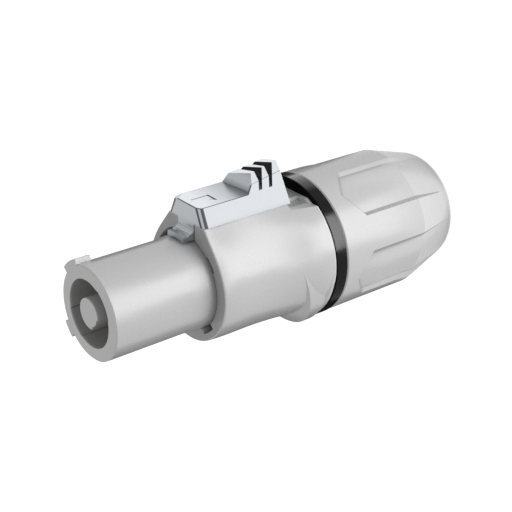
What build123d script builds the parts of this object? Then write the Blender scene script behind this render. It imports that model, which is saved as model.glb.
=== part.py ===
from build123d import *
import math
import os

# Cable power connector with a bayonet nose, a thumb latch and a screwed cable gland.
# Millimetres. The origin is the centre of the cap's rear face, +Z runs along the axis
# to the nose, and the latch is on the +X side.

# Lengths along the axis, from the rear
cap_length = 35.9
ring_width = 3.3
barrel_length = 27.2
nose_reach = 23.6

ring_low = cap_length
barrel_low = ring_low + ring_width
barrel_high = barrel_low + barrel_length
nose_tip = barrel_high + nose_reach

# Named clearances
slide_gap = 0.05
fit_gap = 0.1
seat_gap = 0.3
travel_gap = 0.2
past = 1.0

# Nose and insert
nose_radius = 10.0
nose_edge = 0.3
flare_length = 5.1
flare_rise = 0.3
nose_wall = 2.8
hollow_depth = 16.0
hollow_groove_depth = 0.2
hollow_grooves = ((103.0, 153.0), (-79.0, -28.0))
post_radius = 3.25
post_notch_depth = 0.5
post_notch_length = 6.0
post_notch = (-161.0, -95.0)
lug_reach = 1.1
lug_length = 3.4
lugs = ((22.5, 52.5), (120.6, 139.4))
shoulder_width = 1.3
shoulder_depth = 9.4
flange_length = 5.4
insert_body_length = 9.1
insert_wall = 0.6

hollow_radius = nose_radius - nose_wall
neck_of_insert = nose_radius + flare_rise
shoulder_z = barrel_high - shoulder_depth
flange_low = shoulder_z - flange_length
insert_low = flange_low - insert_body_length
hollow_floor = nose_tip - hollow_depth

# Barrel
bore_gap = 0.12
face_wall = 2.73
neck_wall = 1.15
cap_wall = 2.65
rim_inset = 0.1
seat_rise = 0.55
seat_half_front = 6.1
seat_half_growth = 0.3
keyways = ((-60.0, -41.0, 0.43), (-150.0, -130.0, 1.23))
keyway_length = 5.0
lug_way_depth = 0.93
lug_way_margin = 0.6
slot_half = 2.85
latch_travel = 3.5
pocket_drop = 0.8
pocket_length = 5.9
lip_inset = 0.9
lip_width = 0.8
block_half = 3.9
stop_rise = 2.3
stop_length = 2.0
stop_reach = 3.9
face_edge = 0.2
rim_edge = 0.15
skirt_land = 0.8
skirt_length = 6.3
thread_height = 0.5

# Radii that follow from the nose outwards
bore_radius = neck_of_insert + bore_gap
face_radius = bore_radius + face_wall
cavity_radius = neck_of_insert + shoulder_width
neck_radius = cavity_radius + neck_wall
thread_bore = neck_radius + thread_height + fit_gap
cap_radius = thread_bore + cap_wall
rim_radius = cap_radius - rim_inset
lip_radius = rim_radius - lip_inset
seat_height = face_radius + seat_rise
pocket_floor = seat_height - pocket_drop
stop_height = seat_height + stop_rise
flange_radius = cavity_radius - fit_gap
insert_body_radius = flange_radius - insert_wall

# How the barrel swells from its face to its rim: share of its length, of its swelling at the sides and below
barrel_form = (
    (0.0, 0.0, 0.0),
    (0.38, 0.07, 0.055),
    (0.62, 0.31, 0.09),
    (0.78, 0.67, 0.13),
    (1.0, 1.0, 0.16),
)
flank_angle = 52.0

# Grip lobe under the barrel's rim
lobe_length = 9.0
lobe_offset = 1.9
lobe_radius = 14.9
lobe_edge = 1.2
lobe_ball_radius = 26.0
lobe_ball_offset = 4.0
lobe_ball_drop = 13.7

# Threaded neck and cap
neck_end_gap = 0.6
cap_rear_inset = 3.08
cap_rear_edge = 1.35
cap_edge_bulge = 0.35
cap_front_edge = 0.35
taper_length = 23.3
thread_stop = 22.0
cone_high = 20.0
cone_low = 12.0
cone_wide = 10.8
cone_narrow = 8.9
gland_radius = cone_narrow
entry_radius = 6.5
rear_wall = 3.0
cap_rear_radius = cap_radius - cap_rear_inset
taper_low = cap_length - taper_length
neck_low = thread_stop + neck_end_gap

# Grip panels sunk into the cap
panel_count = 5
panel_centre = -33.0
panel_half_angle = 22.05
panel_depth = 0.7
panel_wall_slope = 3.1
panel_inward = 2.1
panel_outward = 0.6
panel_front = 3.9
panel_front_lean = 0.857
panel_point_slope = 0.465

# Black ring between barrel and cap
ring_proud = 0.1
ring_edge = 0.25
ring_radius = cap_radius + ring_proud

# Chuck that grips the cable
collar_radius = cavity_radius - fit_gap
collar_length = 7.0
cover_thickness = 1.9
chuck_radius = 10.4
chuck_bore = 8.6
jaw_bore = 5.6
jaw_length = 8.5
jaw_lead = 2.0
jaw_tooth = 0.5
jaw_teeth = 3
slit_count = 6
slit_width = 1.4
slit_margin = 1.5
key_half = 1.2
key_reach = 0.8
cone_gap = 0.28
chuck_reach = 0.5

cover_low = insert_low - cover_thickness
collar_high = cover_low - fit_gap
collar_low = collar_high - collar_length
chuck_low = cone_low - chuck_reach

# Gland seal and washer inside the cap
gland_gap = 0.1
seal_bore = 5.2
seal_lead = 0.6
washer_bore = 6.0
washer_thickness = 1.3
washer_high = chuck_low - seat_gap
washer_low = washer_high - washer_thickness
seal_low = rear_wall + slide_gap
seal_high = washer_low - slide_gap

# Terminals: three chambers round the axis
terminals = {"line": 60.0, "earth": 180.0, "neutral": 300.0}
blade_gap = 0.4
blade_thickness = 0.8
blade_half = 2.0
blade_tip = 5.5
blade_bow = 0.9
blade_bow_length = 5.5
blade_bow_place = 0.55
cage_half = 2.45
cage_wall = 0.9
cage_roof = 2.25
cage_length = 8.0
cage_inset = 2.5
wire_space = 2.1
chamber_gap = 0.15
chamber_depth = 12.5
screw_radius = 1.45
screw_head_radius = 2.1
screw_head_height = 1.4
screw_slot_width = 0.6
screw_slot_depth = 0.6
wire_hole_radius = 1.7

blade_out = hollow_radius - blade_gap
blade_in = blade_out - blade_thickness
cage_window_out = blade_out + slide_gap
cage_window_in = blade_in - wire_space
cage_out = cage_window_out + cage_roof
cage_in = cage_window_in - cage_wall
cage_low = insert_low + cage_inset
cage_high = cage_low + cage_length
screw_z = (cage_low + cage_high) / 2

# Seal round the insert's flange
seal_cord_radius = 0.75
seal_groove_depth = 1.45
seal_groove_gap = 0.15
seal_groove_z = (flange_low + shoulder_z) / 2

# Latch
latch_length = 22.4
latch_half = 6.2
latch_height = 3.9
latch_lean = 0.449
latch_reach = 9.5
latch_rear_lean = 0.8
latch_corner = 1.2
latch_edge = 0.22
latch_hollow_half = 4.3
latch_hollow_height = 2.7
latch_front_wall = 2.9
neck_half = 2.7
neck_length = 5.0
tongue_reach = 2.65
tongue_thickness = 1.0
tongue_fillet = 1.1
tongue_sink = 0.3
rail_reach = 0.7
rail_height = 0.8
rail_length = 3.2
rail_cover = 1.25
rail_low = bore_radius + rail_height
latch_low_x = seat_height + slide_gap
latch_top_x = seat_height + latch_height
latch_front = barrel_high + fit_gap
latch_rear = latch_front - latch_length

# Thumb pad: heights are above the latch's flat top, places are from the latch's rear
pad_foot = 9.75
pad_face_slope = 0.381
pad_face_roll = 0.082
pad_rim_slope = 0.82
pad_rim = 0.45
pad_fold_front = 1.62
pad_fold_rear = 2.68
pad_fold_place = 8.55
pad_fold_end = 0.7
pad_fold_lean = 0.62
pad_top_middle = 3.0
pad_top_place = 1.75
pad_top_roll = -0.237
pad_top_rise = 0.166
ridge_pitch = 2.8
ridge_step = 0.35
groove_place = 6.1
groove_neck = 1.9
groove_floor = 0.25
groove_neck_width = 0.88
groove_front_slope = -0.17
groove_rear_slope = 0.43
slot_slope = -0.3
groove_count = 2
scoop_radius = 1.4
cut_size = 60.0

# Arrow sunk into the latch's top
arrow_depth = 0.2
arrow_place = 1.6
arrow_length = 4.4
arrow_side = 0.55
arrow_reach = 2.8
arrow_head = 1.3
arrow_line = 0.45

# Latch springs
spring_half_spacing = 2.2
spring_radius = 1.15
spring_wire = 0.4
spring_turns = 9
spring_gap = 0.1


def turned(*corners):
    """A solid turned about the axis from corners of radius and height."""
    points = [(radius, height) for radius, height in corners]
    return revolve(Plane.XZ * make_face(Polyline(*points, close=True)), Axis.Z)


def rod(radius, low, high):
    """A plain round bar on the axis."""
    return Pos(0, 0, low) * Cylinder(radius, high - low, align=(Align.CENTER, Align.CENTER, Align.MIN))


def sector(inner, outer, start, end, low, high):
    """A ring segment between two angles."""
    corners = [(inner, low), (outer, low), (outer, high), (inner, high)]
    face = Plane.XZ * make_face(Polyline(*corners, close=True))
    return Rot(0, 0, start) * revolve(face, Axis.Z, end - start)


def block(x_low, x_high, y_half, z_low, z_high):
    """A block that is centred across the latch's plane."""
    size = (x_high - x_low, 2 * y_half, z_high - z_low)
    return Pos(x_low, 0, z_low) * Box(*size, align=(Align.MIN, Align.CENTER, Align.MIN))


def screw_rod(radius, low, high):
    """A round bar square to the axis, where a terminal's screw sits."""
    bar = Cylinder(radius, high - low, align=(Align.CENTER, Align.CENTER, Align.MIN))
    return Pos(low, 0, screw_z) * Rot(0, 90, 0) * bar


def side_prism(half, *corners):
    """A prism across the latch's plane from corners of height above the axis and place along it."""
    points = [(x, z) for x, z in corners]
    return extrude(Plane.XZ * make_face(Polyline(*points, close=True)), half, both=True)


def barrel_section(share, swell, swell_below):
    """One cross-section of the barrel: flat seat, two flanks and a round underside."""
    growth = rim_radius - face_radius
    width = face_radius + swell * growth
    depth = face_radius + swell_below * growth
    corner = math.sqrt(max(width**2 - seat_height**2, 0))
    corner = max(corner, seat_half_front + seat_half_growth * swell)
    angle = math.radians(flank_angle)
    middle = (width * math.cos(angle), width * math.sin(angle))
    straight = Vector(middle[0] - seat_height, middle[1] - corner).normalized()
    rounded = Vector(-corner, seat_height).normalized()
    lean = straight * (1 - swell) + rounded * swell
    flank = Spline((seat_height, corner), middle, (0, width), tangents=(lean, (-1, 0)))
    under = EllipticalCenterArc((0, 0), depth, width, start_angle=90, arc_size=180)
    top = Line((seat_height, -corner), (seat_height, corner))
    outline = make_face(Curve() + [top, flank, under, mirror(flank, Plane.XZ)])
    return Pos(0, 0, barrel_high - share * barrel_length) * outline


def barrel_shell():
    """The barrel's swelling form, with a skirt that makes its rear rim round underneath."""
    shell = loft([barrel_section(*form) for form in barrel_form])
    shell = chamfer(shell.faces().sort_by(Axis.Z)[-1].edges(), face_edge)
    skirt_high = barrel_low + skirt_length
    skirt = turned(
        (0, barrel_low),
        (rim_radius - rim_edge, barrel_low),
        (rim_radius, barrel_low + rim_edge),
        (rim_radius, barrel_low + skirt_land),
        (face_radius, skirt_high),
        (0, skirt_high),
    )
    return shell + (skirt & block(-rim_radius, 0, rim_radius, barrel_low, skirt_high))


def grip_lobe():
    """The lobe that swells out under the rim: a short shifted bar, rounded in front by a large ball."""
    band = Pos(-lobe_offset, 0, 0) * rod(lobe_radius, barrel_low, barrel_low + lobe_length)
    band = fillet(band.edges().sort_by(Axis.Z)[0], lobe_edge)
    ball = Pos(lobe_ball_offset, 0, barrel_low - lobe_ball_drop) * Sphere(lobe_ball_radius)
    return band & ball


def latch_pocket():
    """The pocket behind the latch, less the lip and the block that stay standing in it."""
    high = barrel_low + pocket_length
    opening = block(pocket_floor, rim_radius + past, rim_radius, barrel_low - past, high)
    lip = rod(lip_radius, barrel_low - past, barrel_low + lip_width)
    middle = rod(lip_radius, barrel_low - past, high)
    middle = middle & block(0, lip_radius, block_half, barrel_low - past, high)
    return opening - lip - middle


def spring_stop():
    """The block inside the latch's hollow that the springs push against."""
    low = barrel_low + pocket_length
    foot = block(pocket_floor, lip_radius, block_half, low - past, low + stop_reach)
    foot = foot & rod(lip_radius, low - past, low + stop_reach)
    high = low + stop_reach
    return foot + block(pocket_floor, stop_height, block_half - fit_gap, high - stop_length, high)


def latch_way():
    """The slot for the latch's neck, with grooves for its rails."""
    low = barrel_high - neck_length - latch_travel - travel_gap
    slot = block(0, seat_height + past, slot_half, low, barrel_high + past)
    groove_low = rail_low - fit_gap
    groove_high = rail_low + rail_height + fit_gap
    grooves = block(groove_low, groove_high, slot_half + rail_reach, low, barrel_high - rail_cover)
    return slot + grooves


def barrel():
    """Outer housing: seat for the latch, bore for the insert and threaded neck for the cap."""
    body = barrel_shell() + grip_lobe()
    body = body - latch_pocket() + spring_stop()
    body = body + rod(neck_radius, neck_low, barrel_low + past)
    body = body - rod(cavity_radius, neck_low - past, shoulder_z)
    body = body - rod(bore_radius, shoulder_z - past, barrel_high + past)
    high = barrel_high + past
    for start, end, depth in keyways:
        body = body - sector(0, bore_radius + depth, start, end, barrel_high - keyway_length, high)
    for start, end in lugs:
        angles = (start - lug_way_margin, end + lug_way_margin)
        body = body - sector(0, bore_radius + lug_way_depth, *angles, shoulder_z - past, high)
    body = body - latch_way()
    key_out = cavity_radius + key_reach + fit_gap
    key = block(-key_out, 0, key_half + fit_gap, neck_low - past, collar_high + fit_gap)
    for angle in (90, -90):
        body = body - Rot(0, 0, angle) * key
    return body


def insert_body():
    """The insert's turned body with the round hollow of its nose and the post that stands in it."""
    body = turned(
        (0, insert_low),
        (insert_body_radius, insert_low),
        (insert_body_radius, flange_low),
        (flange_radius, flange_low),
        (flange_radius, shoulder_z),
        (neck_of_insert, shoulder_z),
        (neck_of_insert, barrel_high),
        (nose_radius, barrel_high + flare_length),
        (nose_radius, nose_tip - nose_edge),
        (nose_radius - nose_edge, nose_tip),
        (0, nose_tip),
    )
    high = nose_tip + past
    hollow = rod(hollow_radius, hollow_floor, high)
    for start, end in hollow_grooves:
        hollow = hollow + sector(0, hollow_radius + hollow_groove_depth, start, end, hollow_floor, high)
    body = body - (hollow - rod(post_radius, hollow_floor, nose_tip))
    notch_low = nose_tip - post_notch_length
    notch_in = post_radius - post_notch_depth
    return body - sector(notch_in, post_radius + past, *post_notch, notch_low, high)


def insert_chamber():
    """The room of one terminal: chamber, way of the blade and way of the screw."""
    room_in = cage_in - chamber_gap
    room_out = cage_out + chamber_gap
    room_half = cage_half + chamber_gap
    room = block(room_in, room_out, room_half, insert_low - past, insert_low + chamber_depth)
    blade_way_in = blade_in - slide_gap
    blade_way_out = blade_out + slide_gap
    blade_way = block(blade_way_in, blade_way_out, blade_half + fit_gap, insert_low, hollow_floor + past)
    return room + blade_way + screw_rod(screw_head_radius + 2 * fit_gap, cage_out, flange_radius)


def insert():
    """Contact carrier: hollow bayonet nose with its lugs, sealed flange and three chambers."""
    body = insert_body()
    lug_in = hollow_radius + past
    for start, end in lugs:
        body = body + sector(lug_in, nose_radius + lug_reach, start, end, nose_tip - lug_length, nose_tip)
    groove_half = seal_cord_radius + seal_groove_gap
    groove = rod(flange_radius + past, seal_groove_z - groove_half, seal_groove_z + groove_half)
    groove = groove - rod(flange_radius - seal_groove_depth, flange_low, shoulder_z)
    body = body - groove
    chamber = insert_chamber()
    for angle in terminals.values():
        body = body - Rot(0, 0, angle) * chamber
    return body


def insert_seal():
    """Round seal in the groove of the insert's flange."""
    ring = flange_radius - seal_groove_depth + seal_cord_radius + slide_gap
    return Pos(0, 0, seal_groove_z) * Torus(ring, seal_cord_radius)


def contact(angle):
    """Flat spring blade that runs from its clamp into the nose, with a bowed tip."""
    tip = nose_tip - blade_tip
    bow_start = tip - blade_bow_length
    bow_middle = bow_start + blade_bow_place * blade_bow_length
    line = [(0, cage_low), (0, bow_start), (-blade_bow, bow_middle), (0, tip)]
    inner = [(blade_in + x, z) for x, z in line]
    outer = [(blade_out + x, z) for x, z in reversed(line)]
    return Rot(0, 0, angle) * side_prism(blade_half, *inner, *outer)


def cage(angle):
    """Clamp cage: a short square tube round the blade, with a tapped roof."""
    body = block(cage_in, cage_out, cage_half, cage_low, cage_high)
    window_half = cage_half - cage_wall / 2 + slide_gap
    window = block(cage_window_in, cage_window_out, window_half, cage_low - past, cage_high + past)
    hole = screw_rod(screw_radius + slide_gap, cage_window_in, flange_radius)
    return Rot(0, 0, angle) * (body - window - hole)


def terminal_screws():
    """The three slotted clamp screws."""
    head_low = cage_out + slide_gap
    head_high = head_low + screw_head_height
    shank = screw_rod(screw_radius, blade_out + slide_gap / 2, head_low)
    head = screw_rod(screw_head_radius, head_low, head_high)
    slot_low = screw_z - screw_slot_width / 2
    slot = block(head_high - screw_slot_depth, head_high + past, screw_head_radius, slot_low, slot_low + screw_slot_width)
    screw = shank + (head - slot)
    return Compound(children=[Rot(0, 0, angle) * screw for angle in terminals.values()])


def insert_cover():
    """Disc that closes the chambers, with a hole for each wire."""
    disc = rod(insert_body_radius, cover_low, insert_low)
    wire_middle = (cage_window_in + blade_in) / 2
    hole = Pos(wire_middle, 0, 0) * rod(wire_hole_radius, cover_low - past, insert_low + past)
    for angle in terminals.values():
        disc = disc - Rot(0, 0, angle) * hole
    return disc


def seal_ring():
    """Black ring squeezed between the barrel's rim and the cap."""
    low = ring_low + slide_gap
    inner = neck_radius + fit_gap
    edge_radius = ring_radius - ring_edge
    return turned(
        (inner, low),
        (edge_radius, low),
        (ring_radius, low + ring_edge),
        (ring_radius, barrel_low - ring_edge),
        (edge_radius, barrel_low),
        (inner, barrel_low),
    )


def chuck():
    """Slit collet: a collar in the barrel's neck and fingers that the cap's cone closes on the cable."""
    jaw_high = chuck_low + jaw_length
    taper_high = cone_high - chuck_reach
    cone_slope = (cone_wide - cone_narrow) / (cone_high - cone_low)
    tip = cone_narrow - cone_gap - cone_slope * chuck_reach
    wide = min(chuck_radius, tip + cone_slope * (taper_high - chuck_low))
    body = turned(
        (jaw_bore, chuck_low),
        (tip, chuck_low),
        (wide, taper_high),
        (wide, collar_low),
        (collar_radius, collar_low),
        (collar_radius, collar_high),
        (chuck_bore, collar_high),
        (chuck_bore, jaw_high + jaw_lead),
        (jaw_bore, jaw_high),
    )
    pitch = jaw_length / (jaw_teeth + 1)
    for step in range(jaw_teeth):
        low = chuck_low + (step + 1) * pitch - pitch / 4
        body = body - rod(jaw_bore + jaw_tooth, low, low + pitch / 2)
    slit = block(0, collar_radius + past, slit_width / 2, chuck_low - past, collar_low - slit_margin)
    for step in range(slit_count):
        body = body - Rot(0, 0, (step + 0.5) * 360 / slit_count) * slit
    key = block(-collar_radius - key_reach, -chuck_bore, key_half, collar_low, collar_high)
    for angle in (90, -90):
        body = body + Rot(0, 0, angle) * key
    return body


def cable_seal():
    """Rubber sleeve that the cap squeezes round the cable."""
    outer = gland_radius - gland_gap
    wide = seal_bore + seal_lead
    return turned(
        (wide, seal_low),
        (outer, seal_low),
        (outer, seal_high),
        (wide, seal_high),
        (seal_bore, seal_high - seal_lead),
        (seal_bore, seal_low + seal_lead),
    )


def slip_washer():
    """Thin washer that keeps the turning cap from dragging the seal round."""
    disc = rod(gland_radius - gland_gap, washer_low, washer_high)
    return disc - rod(washer_bore, washer_low - past, washer_high + past)


def cap_blank():
    """The cap's outer form before its panels are sunk: straight, then tapered, with a round rear edge."""
    corner = (cap_rear_radius - cap_rear_edge, 0)
    bulge = cap_edge_bulge * cap_rear_edge
    middle = (cap_rear_radius - bulge, bulge)
    taper_end = (cap_rear_radius, cap_rear_edge)
    lines = [
        Line((0, 0), corner),
        ThreePointArc(corner, middle, taper_end),
        Line(taper_end, (cap_radius, taper_low)),
        Line((cap_radius, taper_low), (cap_radius, cap_length - cap_front_edge)),
        Line((cap_radius, cap_length - cap_front_edge), (cap_radius - cap_front_edge, cap_length)),
        Line((cap_radius - cap_front_edge, cap_length), (0, cap_length)),
        Line((0, cap_length), (0, 0)),
    ]
    return revolve(Plane.XZ * make_face(Curve() + lines), Axis.Z)


def panel_band():
    """The depth that the panels are sunk: even where the cap is straight, running out along the taper."""
    floor = cap_radius - panel_depth
    return turned(
        (floor, cap_length), (floor, taper_low), (cap_rear_radius, cap_rear_edge),
        (cap_radius + past, cap_rear_edge), (cap_radius + past, cap_length),
    )


def panel_corners(radius):
    """Inner and outer corners of a panel's section; its walls cross the cap's surface at this radius."""
    angle = math.radians(panel_half_angle)
    foot = radius * math.cos(angle)
    half = radius * math.sin(angle)
    places = (radius - panel_inward, radius + panel_outward)
    return [(x, half + panel_wall_slope * (x - foot)) for x in places]


def panel_cutter():
    """One sunken grip panel: pointed in front, running out in the taper, with walls that open outwards."""
    ends = []
    for x, half in panel_corners(cap_radius):
        tip = cap_length - panel_front + panel_front_lean * (x - cap_radius)
        corner = tip - panel_point_slope * half
        corners = ((-half, taper_low), (half, taper_low), (half, corner), (0, tip), (-half, corner))
        plane = Plane(origin=(x, 0, 0), x_dir=(0, 1, 0), z_dir=(1, 0, 0))
        ends.append(plane * make_face(Polyline(*corners, close=True)))
    front = loft(ends, ruled=True)
    sections = []
    for z, radius in ((taper_low, cap_radius), (cap_rear_edge, cap_rear_radius)):
        (low, low_half), (high, high_half) = panel_corners(radius)
        corners = ((low, -low_half), (high, -high_half), (high, high_half), (low, low_half))
        sections.append(Pos(0, 0, z) * make_face(Polyline(*corners, close=True)))
    return front + loft(sections, ruled=True)


def cap():
    """Screwed cap: threaded bore, closing cone, gland chamber and the cable's entry."""
    outer = cap_blank()
    panel = panel_band() & panel_cutter()
    for step in range(panel_count):
        outer = outer - Rot(0, 0, panel_centre - step * 360 / panel_count) * panel
    bore = turned(
        (0, -past),
        (entry_radius, -past),
        (entry_radius, rear_wall),
        (gland_radius, rear_wall),
        (gland_radius, cone_low),
        (cone_wide, cone_high),
        (cone_wide, thread_stop),
        (thread_bore, thread_stop),
        (thread_bore, cap_length + past),
        (0, cap_length + past),
    )
    return outer - bore


def leaning_prism(half, reach):
    """A prism along the latch with sides that lean in, of the given half width at its foot."""
    high = latch_low_x + reach
    top_half = half - latch_lean * reach
    corners = ((latch_low_x, -half), (latch_low_x, half), (high, top_half), (high, -top_half))
    return extrude(Pos(0, 0, latch_rear) * make_face(Polyline(*corners, close=True)), latch_length)


def latch_wedge():
    """The latch's lower part: leaning sides, two round front corners and a broken top edge."""
    reach = latch_top_x - latch_low_x
    wedge = leaning_prism(latch_half, reach)
    front = wedge.faces().sort_by(Axis.Z)[-1]
    top_half = latch_half - latch_lean * reach
    corners = [edge for edge in front.edges() if abs(edge.center().Y) > top_half + fit_gap]
    wedge = fillet(corners, latch_corner)
    top = wedge.faces().sort_by(Axis.X)[-1]
    return fillet([edge for edge in top.edges() if edge.center().Z > latch_rear + past], latch_edge)


def latch_rear_cut():
    """What lies behind the latch's leaning rear."""
    high = latch_low_x + latch_reach
    behind = latch_rear - past
    foot = (latch_low_x, latch_rear)
    top = (high, latch_rear + latch_rear_lean)
    return side_prism(latch_half + past, foot, top, (high, behind), (latch_low_x, behind))


def half_space(origin, normal):
    """A large block on one side of a plane."""
    return extrude(Plane(origin=origin, z_dir=normal) * Rectangle(cut_size, cut_size), cut_size)


def pad_front():
    """What lies in front of the thumb pad: above the flat top, before the rolled face and its sloping rim."""
    foot = latch_rear + pad_foot
    half_top = latch_half - latch_lean * (latch_top_x - latch_low_x)
    above = block(latch_top_x, latch_top_x + cut_size, cut_size, latch_rear, latch_front + past)
    face = half_space((latch_top_x, half_top, foot), (pad_face_slope, -pad_face_roll, 1))
    rim = half_space((latch_top_x, half_top, foot), (pad_rim_slope, 0, 1))
    scoop = Pos(latch_top_x + scoop_radius, 0, foot) * Rot(90, 0, 0) * Cylinder(scoop_radius, 4 * latch_half)
    inside = leaning_prism(latch_half - pad_rim, latch_reach)
    inside = inside + Pos(0, pad_rim + fit_gap, 0) * leaning_prism(latch_half, latch_reach)
    return (above & face & rim) + (above & face & scoop & inside)


def pad_top():
    """What lies above the pad's top, which rolls down to one side and rises to the rear."""
    middle = (latch_top_x + pad_top_middle, 0, latch_rear + pad_foot - pad_top_place)
    return half_space(middle, (1, -pad_top_roll, pad_top_rise))


def pad_shoulder():
    """What the pad's two sides lose above a fold that rises to the rear, where they lean in more."""
    heights = (pad_fold_front, pad_fold_rear)
    places = (latch_rear + pad_fold_place, latch_rear + pad_fold_end)
    base = latch_top_x - latch_low_x
    halves = [latch_half - latch_lean * (base + height) for height in heights]
    run = Vector(heights[1] - heights[0], halves[0] - halves[1], places[1] - places[0])
    normal = run.cross(Vector(1, pad_fold_lean, 0))
    right = half_space((latch_top_x + heights[0], -halves[0], places[0]), normal)
    return right + mirror(right, Plane.XZ)


def thumb_groove(step):
    """One cross groove between ridges: a wide mouth over a narrow slot."""
    neck = latch_top_x + groove_neck + step * ridge_step
    floor = latch_top_x + groove_floor
    front = latch_rear + groove_place + groove_neck_width / 2 - step * ridge_pitch
    rear = front - groove_neck_width
    mouth = latch_low_x + latch_reach + past
    front_mouth = front - groove_front_slope * (mouth - neck)
    rear_mouth = rear - groove_rear_slope * (mouth - neck)
    shift = slot_slope * (floor - neck)
    front_line = [(mouth, front_mouth), (neck, front), (floor, front + shift)]
    rear_line = [(floor, rear + shift), (neck, rear), (mouth, rear_mouth)]
    return side_prism(latch_half, *front_line, *rear_line)


def arrow_mark():
    """Plain hooked arrow: a line along the latch that turns to one side and ends in half a head."""
    high = latch_front - arrow_place
    low = high - arrow_length
    left = arrow_side
    inner = arrow_side - arrow_line
    neck = arrow_head - arrow_reach
    tip = -arrow_reach
    line = [(high, left), (low, left), (low, tip)]
    head = [(low + arrow_head, neck), (low + arrow_line, neck)]
    back = [(low + arrow_line, inner), (high, inner)]
    plane = Plane(origin=(latch_top_x - arrow_depth, 0, 0), x_dir=(0, 0, 1), z_dir=(1, 0, 0))
    outline = Polyline(*[(z, -y) for z, y in line + head + back], close=True)
    return extrude(plane * make_face(outline), arrow_depth + past)


def latch_neck():
    """Neck, rails and curved tongue under the latch's front."""
    low = latch_front - fit_gap - neck_length
    under = bore_radius + travel_gap
    neck = block(under - past, latch_low_x + past, neck_half, low, latch_front)
    rails = block(rail_low, rail_low + rail_height, neck_half + rail_reach, low, low + rail_length)
    tongue_top = under + tongue_thickness
    tongue_high = latch_front + tongue_reach
    tongue = rod(tongue_top, latch_front - past, tongue_high)
    tongue = tongue & block(under - past, tongue_top, neck_half, latch_front - past, tongue_high)
    web_low = tongue_top - tongue_sink
    web_high = latch_front + tongue_fillet + tongue_sink
    web = side_prism(neck_half, (web_low, latch_front), (tongue_top + tongue_fillet, latch_front), (web_low, web_high))
    hollow = Pos(tongue_top + tongue_fillet, 0, latch_front + tongue_fillet) * Rot(90, 0, 0)
    web = web - hollow * Cylinder(tongue_fillet, 3 * neck_half)
    return neck + rails + tongue + web - rod(under, low - past, tongue_high + past)


def latch():
    """Die-cast thumb latch: hollow wedge, ridged pad, neck and locking tongue."""
    pad = leaning_prism(latch_half, latch_reach)
    pad = pad & block(latch_low_x, latch_low_x + latch_reach, latch_half, latch_rear, latch_rear + pad_foot)
    body = latch_wedge() + (pad - pad_front())
    body = body - pad_top() - pad_shoulder() - latch_rear_cut()
    for step in range(groove_count):
        body = body - thumb_groove(step)
    body = body - arrow_mark()
    body = body + latch_neck()
    hollow_top = latch_low_x + latch_hollow_height
    hollow_front = latch_front - latch_front_wall
    return body - block(latch_low_x - past, hollow_top, latch_hollow_half, latch_rear - past, hollow_front)


def latch_spring(side):
    """One of the two coil springs that push the latch forward."""
    low = barrel_low + pocket_length + stop_reach + spring_gap
    high = latch_front - latch_front_wall - spring_gap
    wire = spring_wire / 2
    coil = spring_radius - wire
    rise = high - low - spring_wire
    path = Helix(rise / spring_turns, rise, coil)
    start = path @ 0
    profile = Plane(origin=start, z_dir=path % 0) * Circle(wire)
    spring = sweep(profile, path, is_frenet=True)
    return Pos(seat_height + spring_radius + fit_gap, side * spring_half_spacing, low + wire) * spring


def parts():
    """Every piece by name."""
    pieces = {"barrel": barrel(), "insert": insert(), "insert_seal": insert_seal()}
    for name, angle in terminals.items():
        pieces["contact_" + name] = contact(angle)
        pieces["cage_" + name] = cage(angle)
    pieces["terminal_screws"] = terminal_screws()
    pieces["insert_cover"] = insert_cover()
    pieces["seal_ring"] = seal_ring()
    pieces["chuck"] = chuck()
    pieces["latch_spring_left"] = latch_spring(1)
    pieces["latch_spring_right"] = latch_spring(-1)
    pieces["latch"] = latch()
    pieces["cable_seal"] = cable_seal()
    pieces["slip_washer"] = slip_washer()
    pieces["cap"] = cap()
    return pieces


os.makedirs("parts", exist_ok=True)
for node, piece in parts().items():
    export_step(piece, "parts/" + node + ".step")
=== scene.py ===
"""Looks for the cable power connector: finishes for every piece, screw threads, floor, lights and camera.

The connector stands on its cap, with the nose up along Z and the latch towards X.
Lengths are in metres, apart from the zones of the materials, which are in millimetres and degrees.
"""

import math
from types import SimpleNamespace

import bmesh
import bpy
from bpy.props import FloatProperty, FloatVectorProperty, IntProperty, PointerProperty
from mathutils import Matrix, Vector


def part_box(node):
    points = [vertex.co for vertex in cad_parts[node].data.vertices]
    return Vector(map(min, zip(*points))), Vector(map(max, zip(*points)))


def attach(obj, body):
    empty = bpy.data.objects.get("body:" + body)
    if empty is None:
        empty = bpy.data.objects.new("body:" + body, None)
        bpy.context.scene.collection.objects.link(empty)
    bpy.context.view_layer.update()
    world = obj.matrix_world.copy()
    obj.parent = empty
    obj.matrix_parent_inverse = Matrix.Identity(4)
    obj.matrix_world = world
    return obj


bl_info = {
    "name": "Cable power connector",
    "version": (1, 0, 0),
    "blender": (4, 5, 0),
    "location": "View3D > Sidebar > Connector",
    "description": "Finishes, threads and studio for a cable power connector",
    "category": "Object",
}

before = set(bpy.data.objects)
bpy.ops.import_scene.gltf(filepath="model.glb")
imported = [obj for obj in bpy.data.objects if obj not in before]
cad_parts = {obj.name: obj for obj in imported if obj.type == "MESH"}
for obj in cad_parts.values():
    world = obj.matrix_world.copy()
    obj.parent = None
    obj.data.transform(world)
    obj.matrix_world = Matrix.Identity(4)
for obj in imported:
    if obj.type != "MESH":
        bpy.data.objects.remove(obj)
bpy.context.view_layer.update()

MM = 0.001
PALE_NODES = ("chuck", "slip_washer")
DARK_NODES = ("insert_cover",)
RUBBER_NODES = ("seal_ring", "cable_seal", "insert_seal")
CONTACT_NODES = ("contact_line", "contact_neutral", "contact_earth")
CLAMP_NODES = ("cage_line", "cage_neutral", "cage_earth")
STEEL_NODES = ("terminal_screws", "latch_spring_left", "latch_spring_right")

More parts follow.
